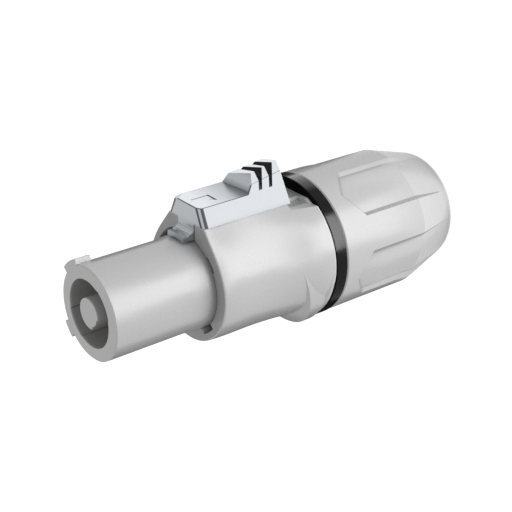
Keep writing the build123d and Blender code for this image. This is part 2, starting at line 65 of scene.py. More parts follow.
# Directions that a surface can face
UP = (0.0, 0.0, 1.0)
DOWN = (0.0, 0.0, -1.0)
TO_LATCH = (1.0, 0.0, 0.0)
LEFT = (0.0, 1.0, 0.0)
RIGHT = (0.0, -1.0, 0.0)

# Soft clouds in a finish: how wide they are, and how much they darken and brighten it
PLASTIC_CLOUD = (0.012, 0.98, 1.02)
RUBBER_CLOUD = (0.004, 0.7, 1.6)
METAL_CLOUD = (0.003, 0.96, 1.03)
LATCH_CLOUD = (0.006, 0.98, 1.01)
# Fine grain: how wide and how deep it is
RUBBER_GRAIN = (0.0003, 0.000006)
METAL_GRAIN = (0.0006, 0.000004)
# Most of a noise node's values lie in this range
NOISE_RANGE = (0.3, 0.7)
# How far the plastic's roughness varies to each side
PLASTIC_SPREAD = 0.005
RUBBER_ROUGHNESS = (0.16, 0.19)
RUBBER_IOR = 1.1
# How far a metal's roughness falls below and rises above its named value
METAL_SMOOTHER, METAL_ROUGHER = 0.04, 0.05
LATCH_ROUGHNESS = (0.22, 0.28)
CONTACT_ROUGHNESS = 0.22
CLAMP_ROUGHNESS = 0.3
STEEL_ROUGHNESS = 0.26

# Zones of the materials. From, above, below, heights, top and places are heights along the axis. Beyond,
# within and reach are distances from the axis. A share is how much of the zone's colour a surface takes.

# The barrel's zones: painted shade on the front face, painted highlight on the rear rim, painted shade in the
# pocket behind the latch and in the narrow gap beside the tongue. The gap runs from one angle round the axis
# to another.
BARREL_ZONES = SimpleNamespace(
    face_from=66.0,
    face_angle=20.0,
    rim_below=39.36,
    rim_beyond=15.4,
    pocket_below=44.2,
    pocket_within=14.4,
    pocket_angle=50.0,
    pocket_share=0.7,
    gap_from=24.0,
    gap_to=57.0,
    gap_within=11.65,
)
# The cap's zones: the painted line of the grip panels' pointed fronts with the painted shade that fades behind
# it, painted shade at the panels' feet and on their walls, and painted light on the rear edge. The line's
# height falls by line_slope for each millimetre to the side.
CAP_ZONES = SimpleNamespace(
    panels=5,
    first_panel=-33.0,
    line_lean=0.857,
    line_slope=0.465,
    line_start=18.288,
    line_edges=(-0.14, 0.1),
    line_share=0.3,
    point_fade=(0.1, 0.8),
    point_share=0.7,
    half_width=5.9,
    foot_side=(4.2, 5.0),
    foot_share=0.6,
    foot_within=15.4,
    foot_heights=(13.0, 16.5),
    wall_turn=0.35,
    wall_beyond=13.5,
    wall_share=0.85,
    lit_side=(0.391, -0.92, 0.0),
    lit_angle=36.0,
    rear_heights=(0.9, 1.5),
)
# The insert's zones: painted shade in the hollow of the nose with its post and two fine painted lines of
# shade, painted shade at the foot of the nose, painted light on the flange. The lines lie lines_apart to each
# side of lines_middle, as angles round the axis.
NOSE_ZONES = SimpleNamespace(
    hollow_reach=(7.4, 8.8),
    hollow_top=(89.5, 89.95),
    hollow_depth=(78.0, 89.0),
    post_reach=(4.8, 5.6),
    post_share=0.6,
    foot_heights=(66.4, 71.8),
    flange_beyond=10.15,
    flange_below=66.4,
    flange_angle=20.0,
    lines_middle=128.2,
    lines_apart=24.7,
    line_half_width=0.9,
    line_within=7.6,
    line_below=89.9,
    line_reach=(5.2, 5.6),
    line_share=0.65,
)
# The latch's zones: top, front and thumb pad with painted shade on the top and at the pad's foot and crown,
# foot on the barrel, thumb grooves and neck with painted shade, and a painted shade line on the fold of the
# pad's sides. Here foot_below, groove_above, pad_foot, pad_crown, neck_heights and fold_heights are measured
# along X.
LATCH_ZONES = SimpleNamespace(
    top_angle=6.0,
    top_fade=(54.0, 63.5),
    top_share=0.5,
    front_angle=4.0,
    front_from=65.5,
    pad_direction=(0.355, -0.076, 0.932),
    pad_angle=5.0,
    pad_from=51.2,
    pad_foot=(17.7, 18.9),
    pad_foot_shares=(0.5, 0.08),
    pad_crown=(20.0, 20.9),
    pad_crown_share=0.16,
    foot_below=13.76,
    groove_above=19.45,
    groove_below=51.2,
    neck_heights=(11.0, 14.6),
    fold_places=(44.8, 52.65),
    fold_heights=(20.33, 19.26),
    fold_half_width=0.055,
    fold_below=52.7,
    fold_sides=((0.45, -0.89, 0.0), (0.45, 0.89, 0.0)),
    fold_angle=12.0,
    fold_share=0.6,
)
# Faces of the latch that stay bright: where they face, and within which angle. Most other surfaces, the
# rounded edges among them, take a painted dark reflection.
LATCH_FACES = (
    ((0.41, -0.912, 0.0), 5.0),
    ((0.41, 0.912, 0.0), 5.0),
    ((0.53, -0.85, 0.02), 4.0),
    ((0.53, 0.85, 0.02), 4.0),
    ((0.264, -0.586, 0.766), 13.0),
    ((0.264, 0.586, 0.766), 13.0),
    (LEFT, 5.0),
    (RIGHT, 5.0),
    ((0.971, 0.23, 0.161), 6.0),
    ((0.28, 0.0, 0.96), 5.0),
    ((-0.28, 0.0, -0.96), 5.0),
    (DOWN, 12.0),
)

# Light panels on the floor: name, near and far edge from the axis, width, share of the brightness
PANELS = (
    ("base_panel", 0.0133, 0.0255, 0.085, 0.3),
    ("near_panel", 0.0255, 0.036, 0.036, 0.3),
    ("second_panel", 0.036, 0.052, 0.042, 0.8),
    ("inner_panel", 0.052, 0.066, 0.05, 0.75),
    ("middle_panel", 0.066, 0.11, 0.075, 1.0),
    ("outer_panel", 0.11, 0.15, 0.105, 1.15),
    ("far_panel", 0.15, 0.32, 0.26, 1.0),
)
# The same for the two panels that light the black ring alone
RING_PANEL = ("ring_panel", 0.055, 0.1, 0.054, 28.0)
RING_TOP_PANEL = ("ring_top_panel", 0.045, 0.085, 0.06, 2.4)
UNLIT_NODES = ("latch", "seal_ring")
# The panels and the card lie a little above the floor, and the card has a near and a far part
PANEL_HEIGHT = 0.0004
FLOOR_COLOUR, FLOOR_ROUGHNESS = 0.42, 0.95
CARD_COLOUR, CARD_ROUGHNESS = 0.05, 0.9
CARD_HEIGHT = 0.001
CARD_EDGES = (0.018, 0.07, 1.2)
CARD_STEPS = 48
WHITE = (1.0, 1.0, 1.0, 1.0)


def colour(name, text, default):
    """A colour property."""
    return FloatVectorProperty(
        name=name, description=text, subtype="COLOR", size=3, min=0.0, max=1.0, default=default
    )


def length(name, text, default):
    """A length property in metres."""
    return FloatProperty(name=name, description=text, unit="LENGTH", default=default)


def share(name, text, default):
    """A property between nought and one."""
    return FloatProperty(name=name, description=text, min=0.0, max=1.0, default=default)


def turn(name, text, degrees):
    """A property for a direction round the connector."""
    return FloatProperty(name=name, description=text, subtype="ANGLE", default=math.radians(degrees))


class ConnectorFinish(bpy.types.PropertyGroup):
    """Colours and grain of the connector's finishes."""

    plastic: colour("Housing plastic", "Colour of the barrel, nose and cap", (0.56, 0.56, 0.56))
    roughness: share("Roughness", "Roughness of the plastic", 0.27)
    gloss: share("Gloss", "How strongly the plastic mirrors", 1.0)
    # Painted shade: a near-black colour for the shade in the gap beside the nose's root and for two fine lines
    # standing for shaded step edges in the hollow.
    gap: colour("Gap", "Colour of the gap in the barrel's face and of the nose's lines", (0.01, 0.01, 0.01))
    # Painted shade: this darker colour stands for the shade on the nose close to the barrel, in the barrel's
    # pocket and along the cap's grip panels.
    foot: colour("Foot", "Colour of the nose close to the barrel and of shaded corners", (0.24, 0.24, 0.24))
    # Painted shade: the barrel's front face takes this darker colour in place of the shade that the nose casts
    # on it.
    face: colour("Barrel face", "Colour of the barrel's front face", (0.36, 0.36, 0.36))
    # Painted light: this pale colour stands for the highlight on the barrel's rear rim and lifts the shaded
    # rear edge of the cap and the insert's flange.
    painted_light: colour("Rear rims", "Colour of the rear rims and of the insert's flange", (0.9, 0.9, 0.9))
    # Painted shade: the hollow's colour stands for the shade inside the nose's opening.
    hollow: colour("Nose hollow", "Colour inside the nose's opening", (0.33, 0.33, 0.33))
    pale: colour("Pale plastic", "Colour of the chuck and the washer", (0.72, 0.72, 0.69))
    dark: colour("Dark plastic", "Colour of the insert's cover", (0.03, 0.03, 0.033))
    rubber: colour("Rubber", "Colour of the ring and the seals", (0.003, 0.003, 0.003))
    latch: colour("Latch metal", "Colour of the latch's smooth plating", (0.72, 0.75, 0.78))
    # Painted reflection: the dark colour that the latch's rounded edges take stands for the dark surroundings
    # that they mirror.
    edge_dark_reflection: colour("Latch edges", "Colour of the latch's rounded edges", (0.16, 0.17, 0.185))
    # Painted shade: near black for the shaded walls of the thumb grooves.
    groove_shade: colour("Latch grooves", "Colour of the thumb grooves' walls", (0.025, 0.025, 0.027))
    neck_shade: share("Neck shade", "Share of its brightness that the latch keeps at its tongue", 0.7)
    contact: colour("Contact metal", "Colour of the contact blades", (0.78, 0.62, 0.36))
    clamp: colour("Clamp metal", "Colour of the clamp cages", (0.70, 0.55, 0.30))
    steel: colour("Steel", "Colour of the screws and springs", (0.56, 0.56, 0.57))
    grain: length("Grain", "Width of one grain of the moulded surface", 0.00022)
    grain_depth: length("Grain depth", "Depth of the moulded grain", 0.0000004)


class ConnectorThread(bpy.types.PropertyGroup):
    """Sizes of the screw thread between barrel and cap."""

    pitch: length("Pitch", "Travel of the cap in one turn", 0.002)
    height: length("Height", "How far a thread stands out", 0.0005)
    sunk: share("Sunk", "Share of its height that a thread reaches into the wall", 0.2)
    root_width: length("Root width", "Width of a thread at its foot", 0.0011)
    crest_width: length("Crest width", "Width of a thread at its top", 0.0003)
    neck_radius: length("Neck radius", "Radius of the barrel's neck under its thread", 0.01275)
    neck_start: length("Neck start", "Plain length of the neck below its thread", 0.0006)
    cap_radius: length("Cap radius", "Radius of the cap's bore behind its thread", 0.01335)
    cap_start: length("Cap start", "How far above the neck's end the cap's thread starts", 0.0016)
    end: length("End", "Plain length above a thread", 0.0005)
    steps: IntProperty(name="Steps", description="Steps in one turn", default=72, min=12, max=180)


class ConnectorStudio(bpy.types.PropertyGroup):
    """Floor, lights and camera."""

    floor_size: length("Floor size", "Width of the floor", 6.0)
    floor_glow: share("Floor glow", "Light that the floor shows to the camera", 0.86)
    lens: FloatProperty(name="Lens", description="Focal length of the camera in millimetres", default=82.27)
    sensor: FloatProperty(name="Sensor", description="Width of the sensor in millimetres", default=36.0)
    camera_clip: length("Clip start", "Nearest distance that the camera sees", 0.01)
    camera_place: FloatVectorProperty(
        name="Camera place", description="Where the camera stands", subtype="TRANSLATION",
        default=(0.110335, -0.176353, 0.191166),
    )
    camera_turn: FloatVectorProperty(
        name="Camera turn", description="How the camera is turned", subtype="EULER",
        default=(math.radians(-24.928), math.radians(51.307), math.radians(-88.813)),
    )
    sky: FloatProperty(name="Sky", description="Strength of the even light from all around", default=0.61)
    panel_glow: FloatProperty(name="Panel glow", description="Brightness of the light panels", default=2.8)
    panel_turn: turn("Panels' side", "Where the light panels lie", -60.0)
    ring_top_turn: turn("Upper ring panel's side", "Where the light for the ring's upper side lies", 43.0)
    card_near_start: turn("Dark card's near start", "Where the card starts beside the connector", 56.0)
    card_start: turn("Dark card's start", "Where the card starts further out", 75.0)
    card_end: turn("Dark card's end", "Where the dark card ends", 192.0)


# Materials


def opaque(tone):
    """A colour of three numbers with its alpha."""
    return [*tone, 1.0]


class NodeMaterial:
    """A new material, with short calls for the shader nodes that it needs."""

    def __init__(self, name):
        self.material = bpy.data.materials.new(name)
        self.material.use_nodes = True
        self.tree = self.material.node_tree
        self.shader = self.tree.nodes["Principled BSDF"]

    def add(self, kind):
        """A new shader node."""
        return self.tree.nodes.new(kind)

    def feed(self, socket, value):
        """Links a result to a socket, or sets the socket to a value."""
        if isinstance(value, bpy.types.NodeSocket):
            self.tree.links.new(value, socket)
        else:
            socket.default_value = value

    def set(self, name, value):
        """Gives one of the shader's sockets its value."""
        self.feed(self.shader.inputs[name], value)

    def coordinates(self, kind):
        """The shaded point's Object coordinates, or its Normal."""
        return self.add("ShaderNodeTexCoord").outputs[kind]

    def split(self, vector):
        """The three numbers of a vector."""
        node = self.add("ShaderNodeSeparateXYZ")
        self.feed(node.inputs["Vector"], vector)
        return node.outputs["X"], node.outputs["Y"], node.outputs["Z"]

    def millimetres(self):
        """The shaded point's X, Y and Z in millimetres."""
        node = self.add("ShaderNodeVectorMath")
        node.operation = "SCALE"
        self.feed(node.inputs[0], self.coordinates("Object"))
        self.feed(node.inputs["Scale"], 1.0 / MM)
        return self.split(node.outputs["Vector"])

    def math(self, operation, *values):
        """The result of a Math node."""
        node = self.add("ShaderNodeMath")
        node.operation = operation
        for socket, value in zip(node.inputs, values):
            self.feed(socket, value)
        return node.outputs["Value"]

    def chain(self, operation, first, *others):
        """One operation on several values, from left to right."""
        for other in others:
            first = self.math(operation, first, other)
        return first

    def times(self, *values):
        """The product of values, which also says whether all of several conditions hold."""
        return self.chain("MULTIPLY", *values)

    def most(self, *values):
        """The greatest of several values."""
        return self.chain("MAXIMUM", *values)

    def above(self, value, limit):
        """One where a value is above a limit, else nought."""
        return self.math("GREATER_THAN", value, limit)

    def below(self, value, limit):
        """One where a value is below a limit, else nought."""
        return self.math("LESS_THAN", value, limit)

    def ramp(self, value, limits, results):
        """A value between two limits, turned into one between two results."""
        node = self.add("ShaderNodeMapRange")
        for name, number in zip(("From Min", "From Max", "To Min", "To Max"), (*limits, *results)):
            node.inputs[name].default_value = number
        self.feed(node.inputs["Value"], value)
        return node.outputs["Result"]

    def reach(self, x, y):
        """Distance from the connector's axis."""
        return self.math("SQRT", self.math("ADD", self.times(x, x), self.times(y, y)))

    def facing(self, normal, direction, angle):
        """One where a surface faces within an angle of a direction, else nought."""
        node = self.add("ShaderNodeVectorMath")
        node.operation = "DOT_PRODUCT"
        self.feed(node.inputs[0], normal)
        node.inputs[1].default_value = Vector(direction).normalized()
        return self.above(node.outputs["Value"], math.cos(math.radians(angle)))

    def mixed(self, factor, first, second):
        """A colour between two others."""
        node = self.add("ShaderNodeMix")
        node.data_type = "RGBA"
        self.feed(node.inputs["Factor"], factor)
        for name, tone in (("A", first), ("B", second)):
            self.feed(node.inputs[name], tone if isinstance(tone, bpy.types.NodeSocket) else opaque(tone))
        return node.outputs["Result"]

    def noise(self, width, detail=2.0):
        """Noise whose grains are about this wide, in metres."""
        node = self.add("ShaderNodeTexNoise")
        node.inputs["Scale"].default_value = 1.0 / width
        node.inputs["Detail"].default_value = detail
        self.feed(node.inputs["Vector"], self.coordinates("Object"))
        return node.outputs["Fac"]

    def tinted(self, value, base, low, high):
        """The base colour made a little darker and lighter by a value."""
        return self.mixed(value, [low * c for c in base], [min(1.0, high * c) for c in base])

    def clouded(self, base, cloud):
        """The base colour with soft clouds."""
        width, low, high = cloud
        return self.tinted(self.noise(width), base, low, high)

    def bump(self, value, depth):
        """Gives the surface relief from a value between nought and one."""
        node = self.add("ShaderNodeBump")
        node.inputs["Distance"].default_value = depth
        self.feed(node.inputs["Height"], value)
        self.set("Normal", node.outputs["Normal"])

    def plastic_skin(self, finish):
        """Gives the surface the faint grain and the gloss of moulded plastic."""
        speck = self.noise(finish.grain, 1.0)
        limits = (finish.roughness - PLASTIC_SPREAD, finish.roughness + PLASTIC_SPREAD)
        self.set("Roughness", self.ramp(speck, NOISE_RANGE, limits))
        self.set("Specular IOR Level", finish.gloss)
        self.bump(speck, finish.grain_depth)


def moulded_plastic(name, base, finish):
    """Moulded plastic with a fine grain."""
    skin = NodeMaterial(name)
    skin.set("Base Color", skin.clouded(base, PLASTIC_CLOUD))
    skin.plastic_skin(finish)
    return skin.material


def barrel_plastic(name, finish):
    """The barrel's plastic, with painted shade on its front face, in its pocket and in the gap beside the
    tongue, and a painted highlight on its rear rim.
    """
    zones = BARREL_ZONES
    skin = NodeMaterial(name)
    x, y, height = skin.millimetres()
    reach = skin.reach(x, y)
    normal = skin.coordinates("Normal")
    base = skin.clouded(finish.plastic, PLASTIC_CLOUD)
    # Painted shade on the barrel's front face, which the nose shades.
    face = skin.times(skin.facing(normal, UP, zones.face_angle), skin.above(height, zones.face_from))
    tone = skin.mixed(face, base, finish.face)
    # Painted highlight along the barrel's rear rim.
    painted_light = skin.times(skin.below(height, zones.rim_below), skin.above(reach, zones.rim_beyond))
    tone = skin.mixed(painted_light, tone, finish.painted_light)
    # Painted shade in the pocket behind the latch.
    pocket_shade = skin.times(
        skin.below(height, zones.pocket_below),
        skin.below(reach, zones.pocket_within),
        skin.facing(normal, TO_LATCH, zones.pocket_angle),
        zones.pocket_share,
    )
    tone = skin.mixed(pocket_shade, tone, finish.foot)
    # Painted shade: a dark arc on the face beside the bore, on the side where the gap round the nose lies in
    # shade.
    angle = skin.math("ARCTAN2", y, x)
    gap = skin.times(
        skin.above(angle, math.radians(zones.gap_from)),
        skin.below(angle, math.radians(zones.gap_to)),
        skin.below(reach, zones.gap_within),
        face,
    )
    skin.set("Base Color", skin.mixed(gap, tone, finish.gap))
    skin.plastic_skin(finish)
    return skin.material


def panel_points(skin, side, depth, height):
    """How shaded the pointed front of a grip panel is: a fine line and a shade that fades behind it."""
    zones = CAP_ZONES
    line = skin.math("SUBTRACT", skin.times(depth, zones.line_lean), skin.times(side, zones.line_slope))
    behind = skin.math("ADD", skin.math("SUBTRACT", line, height), zones.line_start)
    first, last = zones.line_edges
    edge = skin.times(skin.above(behind, first), skin.below(behind, last), zones.line_share)
    shade = skin.times(skin.above(behind, 0.0), skin.ramp(behind, zones.point_fade, (zones.point_share, 0.0)))
    return skin.times(skin.most(skin.times(shade, shade), edge), skin.below(side, zones.half_width))


def panel_walls(skin, x, y, reach):
    """How shaded the side walls of the grip panels are: those turned away from the light."""
    zones = CAP_ZONES
    normal = skin.coordinates("Normal")
    normal_x, normal_y, _ = skin.split(normal)
    turned = skin.math("SUBTRACT", skin.times(x, normal_y), skin.times(y, normal_x))
    turned = skin.math("ABSOLUTE", skin.math("DIVIDE", turned, reach))
    unlit = skin.math("SUBTRACT", 1.0, skin.facing(normal, zones.lit_side, zones.lit_angle))
    return skin.times(
        skin.above(turned, zones.wall_turn), skin.above(reach, zones.wall_beyond), unlit, zones.wall_share
    )


def cap_plastic(name, finish):
    """The cap's plastic, with painted shade along the grip panels' pointed fronts, at their feet and on their
    walls turned away from the light, and painted light on the rear edge.
    """
    zones = CAP_ZONES
    skin = NodeMaterial(name)
    x, y, height = skin.millimetres()
    reach = skin.reach(x, y)
    angle = skin.math("SUBTRACT", skin.math("ARCTAN2", y, x), math.radians(zones.first_panel))
    angle = skin.math("WRAP", angle, math.pi / zones.panels, -math.pi / zones.panels)
    side = skin.times(reach, skin.math("SINE", angle))
    depth = skin.times(reach, skin.math("COSINE", angle))
    # Painted shade on the panels' floors at the foot of their walls.
    foot = skin.times(
        skin.ramp(side, zones.foot_side, (0.0, zones.foot_share)),
        skin.below(reach, zones.foot_within),
        skin.ramp(height, zones.foot_heights, (0.0, 1.0)),
    )
    points = panel_points(skin, skin.math("ABSOLUTE", side), depth, height)
    shade = skin.most(points, foot, panel_walls(skin, x, y, reach))
    base = skin.clouded(finish.plastic, PLASTIC_CLOUD)
    # Painted light on the cap's rear edge, which lies in shade by the floor.
    tone = skin.mixed(skin.ramp(height, zones.rear_heights, (1.0, 0.0)), base, finish.painted_light)
    skin.set("Base Color", skin.mixed(shade, tone, finish.foot))
    skin.plastic_skin(finish)
    return skin.material


def hollow_shade_lines(skin, x, y, height, reach):
    """Two fine lines of painted shade along the wall of the hollow nose, standing for the shaded edges of
    steps in the wall.
    """
    zones = NOSE_ZONES
    angle = skin.math("ARCTAN2", y, x)
    for degrees in (zones.lines_middle, zones.lines_apart):
        angle = skin.math("ABSOLUTE", skin.math("SUBTRACT", angle, math.radians(degrees)))
    return skin.times(
        skin.below(angle, math.radians(zones.line_half_width)),
        skin.below(reach, zones.line_within),
        skin.below(height, zones.line_below),
        skin.ramp(reach, zones.line_reach, (0.0, zones.line_share)),
    )


def nose_plastic(name, finish):
    """The insert's plastic, with painted shade inside the hollow nose and at its foot, and painted light on
    the flange.
    """
    zones = NOSE_ZONES
    skin = NodeMaterial(name)
    x, y, height = skin.millimetres()
    reach = skin.reach(x, y)
    # Painted shade on the nose close to the barrel's face.
    foot = skin.ramp(height, zones.foot_heights, (1.0, 0.0))
    tone = skin.mixed(skin.times(foot, foot), skin.clouded(finish.plastic, PLASTIC_CLOUD), finish.foot)
    # Painted light on the insert's flange, against the shade on it.
    flange = skin.times(
        skin.above(reach, zones.flange_beyond),
        skin.below(height, zones.flange_below),
        skin.facing(skin.coordinates("Normal"), UP, zones.flange_angle),
    )
    tone = skin.mixed(flange, tone, finish.painted_light)
    # Painted shade inside the hollow, strongest near the opening, fading deeper down and weaker on the post.
    inside = skin.times(
        skin.ramp(reach, zones.hollow_reach, (1.0, 0.0)),
        skin.ramp(height, zones.hollow_top, (1.0, 0.0)),
        skin.ramp(height, zones.hollow_depth, (0.0, 1.0)),
        skin.ramp(reach, zones.post_reach, (zones.post_share, 1.0)),
    )
    tone = skin.mixed(inside, tone, finish.hollow)
    # Painted shade: two fine dark lines in the hollow.
    skin.set("Base Color", skin.mixed(hollow_shade_lines(skin, x, y, height, reach), tone, finish.gap))
    skin.plastic_skin(finish)
    return skin.material


def moulded_rubber(name, base):
    """Dense black rubber with a faint bloom."""
    width, low, high = RUBBER_CLOUD
    grain, depth = RUBBER_GRAIN
    skin = NodeMaterial(name)
    cloud = skin.noise(width)
    skin.set("Base Color", skin.tinted(cloud, base, low, high))
    skin.set("Roughness", skin.ramp(cloud, NOISE_RANGE, RUBBER_ROUGHNESS))
    skin.set("IOR", RUBBER_IOR)
    skin.bump(skin.noise(grain, 1.0), depth)
    return skin.material


def worked_metal(name, base, roughness):
    """Metal with a slightly uneven polish."""
    grain, depth = METAL_GRAIN
    skin = NodeMaterial(name)
    fine = skin.noise(grain)
    skin.set("Metallic", 1.0)
    skin.set("Base Color", skin.clouded(base, METAL_CLOUD))
    limits = (roughness - METAL_SMOOTHER, roughness + METAL_ROUGHER)
    skin.set("Roughness", skin.ramp(fine, NOISE_RANGE, limits))
    skin.bump(fine, depth)
    return skin.material


def fold_shade_line(skin, normal, rise, height):
    """How much painted shade lies in a fine dark line along the fold of the pad's sides."""
    zones = LATCH_ZONES
    fold = skin.ramp(height, zones.fold_places, zones.fold_heights)
    away = skin.math("ABSOLUTE", skin.math("SUBTRACT", rise, fold))
    sides = [skin.facing(normal, direction, zones.fold_angle) for direction in zones.fold_sides]
    return skin.times(
        skin.below(away, zones.fold_half_width),
        skin.below(height, zones.fold_below),
        skin.most(*sides),
        zones.fold_share,
    )


def latch_metal(name, finish):
    """Smooth bright plating, with a painted dark reflection on its rounded edges, painted shade on the walls
    of the thumb grooves, and painted shade on its top, thumb pad and neck.
    """
    zones = LATCH_ZONES
    skin = NodeMaterial(name)
    rise, _, height = skin.millimetres()
    normal = skin.coordinates("Normal")
    top = skin.facing(normal, TO_LATCH, zones.top_angle)
    front = skin.times(skin.facing(normal, UP, zones.front_angle), skin.above(height, zones.front_from))
    pad = skin.facing(normal, zones.pad_direction, zones.pad_angle)
    pad = skin.times(pad, skin.above(height, zones.pad_from))
    # Faces turned these ways keep the plating; the other surfaces take a painted dark reflection.
    faces = [skin.facing(normal, direction, angle) for direction, angle in LATCH_FACES]
    bright = skin.most(top, *faces, front, pad, skin.below(rise, zones.foot_below))
    bright = skin.math("SUBTRACT", bright, fold_shade_line(skin, normal, rise, height))
    # Painted shade on the walls of the thumb grooves.
    groove_shade_zone = skin.times(skin.above(rise, zones.groove_above), skin.below(height, zones.groove_below))
    dark = skin.mixed(groove_shade_zone, finish.edge_dark_reflection, finish.groove_shade)
    # Painted shade: the plating is darkened on the top towards its rear, at the foot and crown of the thumb
    # pad, and at the neck by the tongue.
    foot = skin.ramp(rise, zones.pad_foot, zones.pad_foot_shares)
    crown_shade = skin.ramp(rise, zones.pad_crown, (0.0, zones.pad_crown_share))
    painted_shade_share = skin.chain(
        "ADD",
        skin.times(top, skin.ramp(height, zones.top_fade, (zones.top_share, 0.0))),
        skin.times(pad, skin.math("ADD", foot, crown_shade)),
        skin.ramp(rise, zones.neck_heights, (1.0 - finish.neck_shade, 0.0)),
    )
    width, low, high = LATCH_CLOUD
    cloud = skin.noise(width)
    plate = skin.add("ShaderNodeVectorMath")
    plate.operation = "SCALE"
    skin.feed(plate.inputs[0], skin.tinted(cloud, finish.latch, low, high))
    skin.feed(plate.inputs["Scale"], skin.math("SUBTRACT", 1.0, painted_shade_share))
    skin.set("Metallic", 1.0)
    skin.set("Base Color", skin.mixed(bright, dark, plate.outputs["Vector"]))
    skin.set("Roughness", skin.ramp(cloud, NOISE_RANGE, LATCH_ROUGHNESS))
    return skin.material


def dress(nodes, material):
    """Gives CAD nodes a material."""
    for name in nodes:
        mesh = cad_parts[name].data
        mesh.materials.clear()
        mesh.materials.append(material)


# Meshes


def object_from(bm, name, material):
    """Makes an object of a bmesh, with one material."""
    mesh = bpy.data.meshes.new(name)
    bm.to_mesh(mesh)
    bm.free()
    mesh.materials.append(material)
    obj = bpy.data.objects.new(name, mesh)
    bpy.context.scene.collection.objects.link(obj)
    return obj


def piece_from(bm, name, body, slot):
    """Makes a finished piece of a bmesh and lets it ride on a body. Its material has the slot's name."""
    bmesh.ops.recalc_face_normals(bm, faces=bm.faces)
    obj = object_from(bm, name, bpy.data.materials[slot])
    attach(obj, body)


def thread_ridge(foot_radius, rise, low, high, sizes):
    """One screw thread round the axis: its section is turned and lifted step by step."""
    root = sizes.root_width / 2
    crest = sizes.crest_width / 2
    inner = foot_radius - sizes.sunk * rise
    outer = foot_radius + rise
    corners = (
        (inner, -root), (foot_radius, -root), (outer, -crest),
        (outer, crest), (foot_radius, root), (inner, root),
    )
    bm = bmesh.new()
    ring = [bm.verts.new((x, 0.0, low + root + z)) for x, z in corners]
    face = bm.faces.new(ring)
    turns = (high - low - 2 * root) / sizes.pitch
    steps = int(turns * sizes.steps)
    bmesh.ops.spin(
        bm, geom=[face] + ring + list(face.edges), cent=(0, 0, 0), axis=(0, 0, 1),
        dvec=(0, 0, sizes.pitch / sizes.steps), angle=math.tau * steps / sizes.steps,
        steps=steps, use_merge=False,
    )
    bmesh.ops.holes_fill(bm, edges=bm.edges, sides=len(corners))
    return bm


# Operators


class CONNECTOR_OT_plastic(bpy.types.Operator):
    """Give the moulded plastic pieces their finish"""

    bl_idname = "connector.plastic"
    bl_label = "Moulded plastic"

    def execute(self, context):
        finish = context.scene.connector_finish
        dress(("barrel",), barrel_plastic("housing_plastic", finish))
        dress(("cap",), cap_plastic("cap_plastic", finish))
        dress(("insert",), nose_plastic("insert_plastic", finish))
        dress(PALE_NODES, moulded_plastic("pale_plastic", finish.pale, finish))
        dress(DARK_NODES, moulded_plastic("dark_plastic", finish.dark, finish))
        return {"FINISHED"}


class CONNECTOR_OT_rubber(bpy.types.Operator):
    """Give the ring and the seals their rubber"""

    bl_idname = "connector.rubber"
    bl_label = "Rubber"

    def execute(self, context):
        finish = context.scene.connector_finish
        dress(RUBBER_NODES, moulded_rubber("seal_rubber", finish.rubber))
        return {"FINISHED"}


class CONNECTOR_OT_metal(bpy.types.Operator):
    """Give the latch, contacts, clamps, screws and springs their metal"""

    bl_idname = "connector.metal"
    bl_label = "Metal"

    def execute(self, context):
        finish = context.scene.connector_finish
        dress(("latch",), latch_metal("latch_metal", finish))
        dress(CONTACT_NODES, worked_metal("contact_metal", finish.contact, CONTACT_ROUGHNESS))
        dress(CLAMP_NODES, worked_metal("clamp_metal", finish.clamp, CLAMP_ROUGHNESS))
        dress(STEEL_NODES, worked_metal("bright_steel", finish.steel, STEEL_ROUGHNESS))
        return {"FINISHED"}


class CONNECTOR_OT_neck_thread(bpy.types.Operator):
    """Cut the outer thread on the barrel's neck"""

    bl_idname = "connector.neck_thread"
    bl_label = "Neck thread"

    def execute(self, context):
        sizes = context.scene.connector_thread
        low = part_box("barrel")[0].z + sizes.neck_start
        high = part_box("seal_ring")[0].z - sizes.end
        bm = thread_ridge(sizes.neck_radius, sizes.height, low, high, sizes)
        piece_from(bm, "neck_thread", "housing", "housing_plastic")
        return {"FINISHED"}


class CONNECTOR_OT_cap_thread(bpy.types.Operator):
    """Cut the inner thread in the cap"""

    bl_idname = "connector.cap_thread"
    bl_label = "Cap thread"

    def execute(self, context):
        sizes = context.scene.connector_thread
        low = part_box("barrel")[0].z + sizes.cap_start
        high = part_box("cap")[1].z - sizes.end
        bm = thread_ridge(sizes.cap_radius, -sizes.height, low, high, sizes)
        piece_from(bm, "cap_thread", "cap", "cap_plastic")
        return {"FINISHED"}


